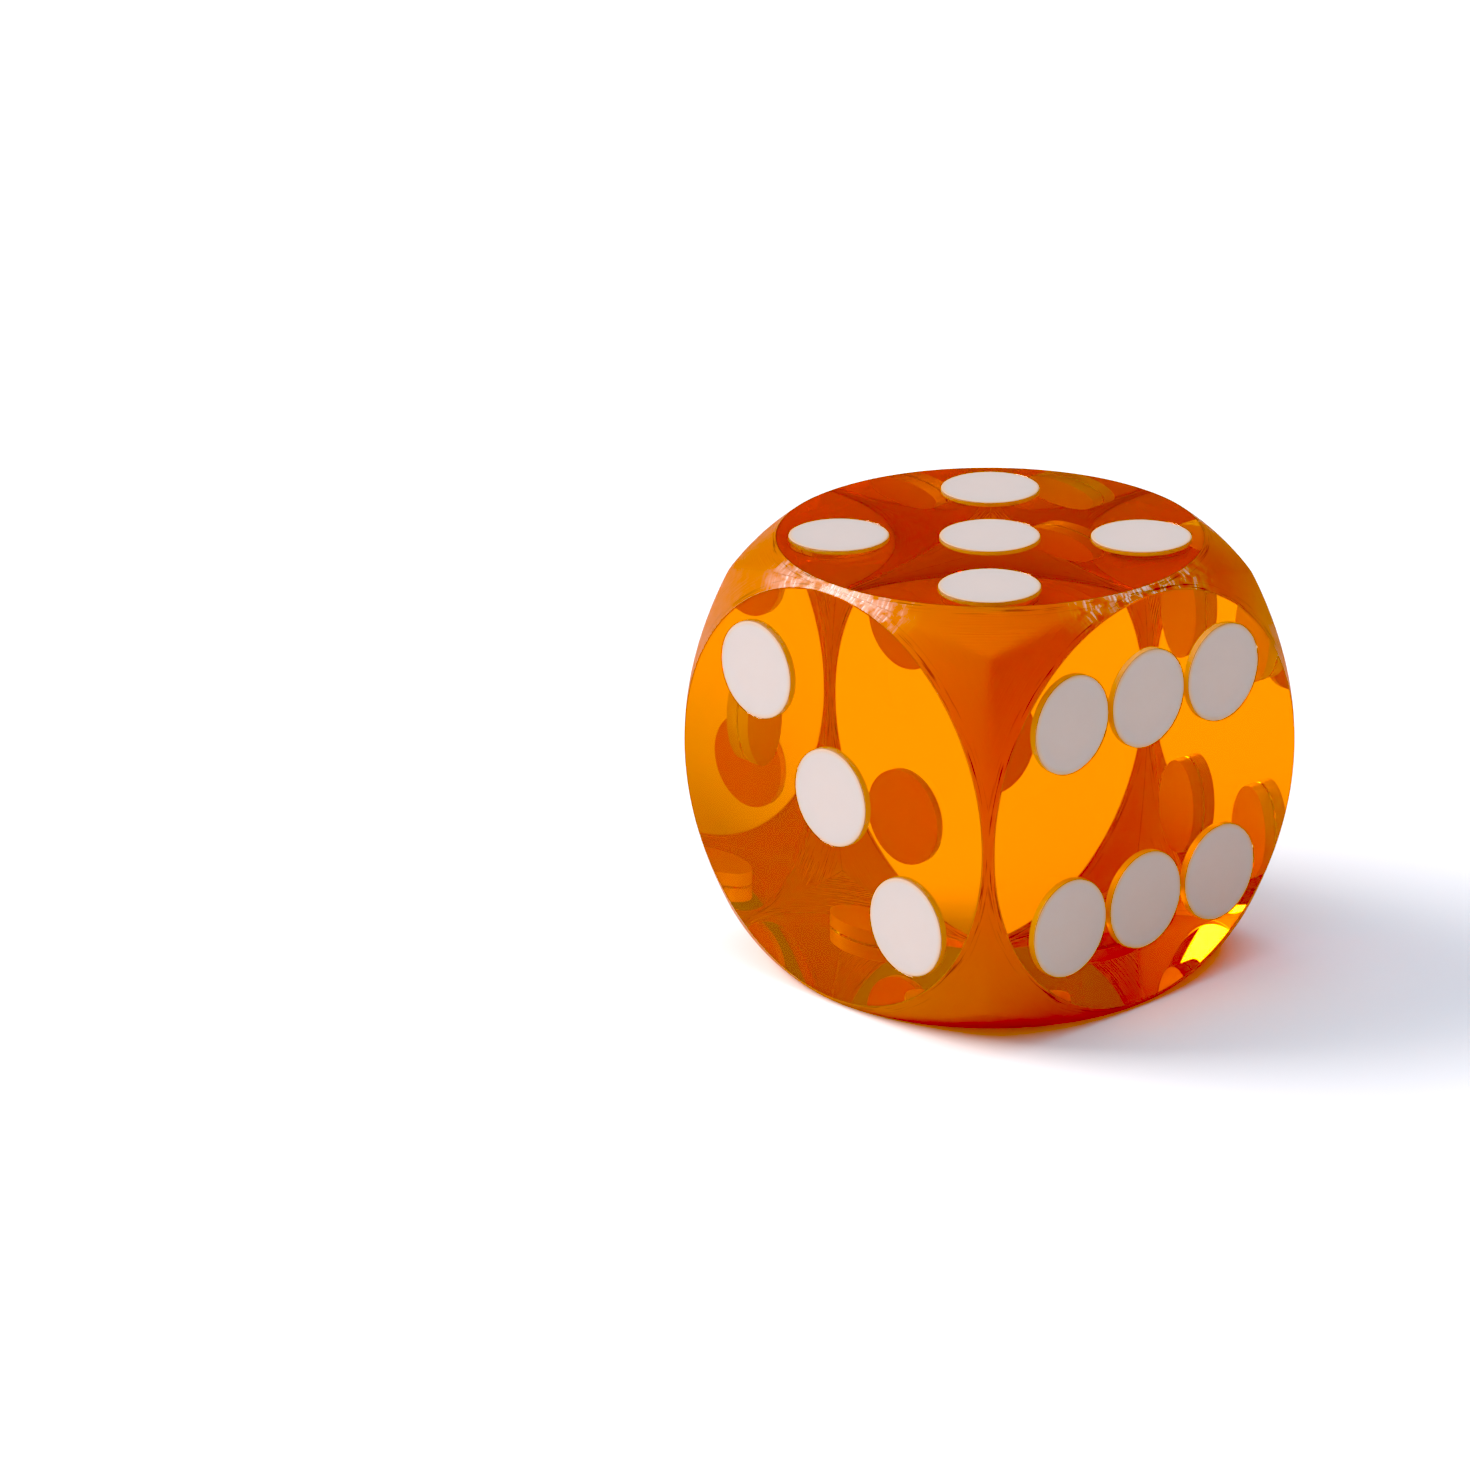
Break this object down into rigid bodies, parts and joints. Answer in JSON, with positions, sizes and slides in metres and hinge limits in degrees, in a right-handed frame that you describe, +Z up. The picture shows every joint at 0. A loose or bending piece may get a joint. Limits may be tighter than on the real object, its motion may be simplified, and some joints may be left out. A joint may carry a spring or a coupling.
{
  "type": "casino die",
  "caption": "Clear amber six-sided die, a cube with its edges turned to cones, with white round pips inlaid flush in its flat faces; stands on its two.",
  "frame": {"origin": "on the ground under the middle of the die, which stands on its two face", "axes": "+Z up, out of the five face; +X out of the six face; +Y out of the four face"},
  "size_m": [0.0142, 0.0142, 0.0143],
  "materials": {
    "amber_body": "clear amber casting resin, polished flats, satin turned edges with short scratches where they are narrow",
    "white_pip": "white filled-resin inlay, faintly translucent, ground flush and polished with the face"
  },
  "bodies": {
    "root": {"body": "amber_body", "face_1_pip": "white_pip", "face_2_pip_1": "white_pip", "face_2_pip_2": "white_pip", "face_3_pip_1": "white_pip", "face_3_pip_2": "white_pip", "face_3_pip_3": "white_pip", "face_4_pip_1": "white_pip", "face_4_pip_2": "white_pip", "face_4_pip_3": "white_pip", "face_4_pip_4": "white_pip", "face_5_pip_1": "white_pip", "face_5_pip_2": "white_pip", "face_5_pip_3": "white_pip", "face_5_pip_4": "white_pip", "face_5_pip_5": "white_pip", "face_6_pip_1": "white_pip", "face_6_pip_2": "white_pip", "face_6_pip_3": "white_pip", "face_6_pip_4": "white_pip", "face_6_pip_5": "white_pip", "face_6_pip_6": "white_pip"}
  },
  "joints": []
}
